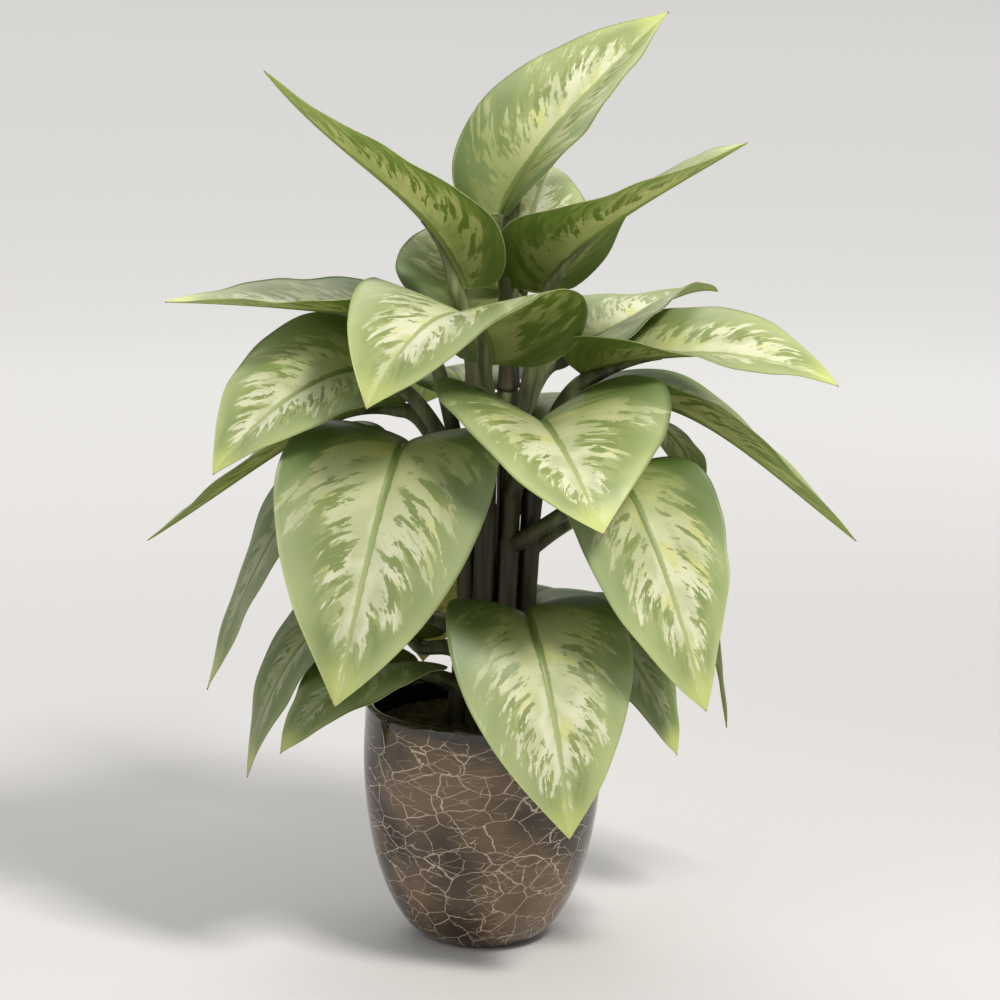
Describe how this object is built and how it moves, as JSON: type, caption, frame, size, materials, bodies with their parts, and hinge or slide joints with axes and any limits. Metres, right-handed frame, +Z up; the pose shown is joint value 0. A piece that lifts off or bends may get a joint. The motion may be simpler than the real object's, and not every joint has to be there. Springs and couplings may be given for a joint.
{
  "type": "potted dieffenbachia",
  "caption": "Broad-leaved foliage plant with cream-streaked green leaves on upright canes, standing in a round crackle-glazed pot of soil.",
  "frame": {"origin": "centre of the pot's flat underside", "axes": "+Z up along the plant's height, -Y towards the front, +X to the plant's right as seen from the front"},
  "size_m": [0.7042, 0.473, 0.9273],
  "materials": {
    "glaze": "gloss",
    "soil": "matte",
    "stem": "satin",
    "leaf": "satin"
  },
  "bodies": {
    "root": {"pot": "glaze", "soil": "soil", "cane_front": "stem", "cane_centre": "stem", "cane_centre_left": "stem", "cane_front_right": "stem", "cane_back": "stem", "cane_right": "stem", "cane_left": "stem", "cane_back_right": "stem", "cane_back_left": "stem", "leaf_crown_right": "leaf", "leaf_crown_left": "leaf", "leaf_upper_right": "leaf", "leaf_back_crown": "leaf", "leaf_back_upper_left": "leaf", "leaf_left_level": "leaf", "leaf_front_saddle": "leaf", "leaf_left_arch": "leaf", "leaf_left_narrow": "leaf", "leaf_front_left": "leaf", "leaf_front_right": "leaf", "leaf_right_broad": "leaf", "leaf_front_low": "leaf", "leaf_right_upper": "leaf", "leaf_back_right_twist": "leaf", "leaf_right_long": "leaf", "leaf_right_shaded": "leaf", "leaf_right_hanging": "leaf", "leaf_left_hanging": "leaf", "leaf_left_low": "leaf", "leaf_rim_left": "leaf", "leaf_rim_right": "leaf", "leaf_back_low_right": "leaf", "leaf_back_low_left": "leaf", "leaf_back_left": "leaf", "leaf_back_right": "leaf", "leaf_back_middle": "leaf"}
  },
  "joints": []
}
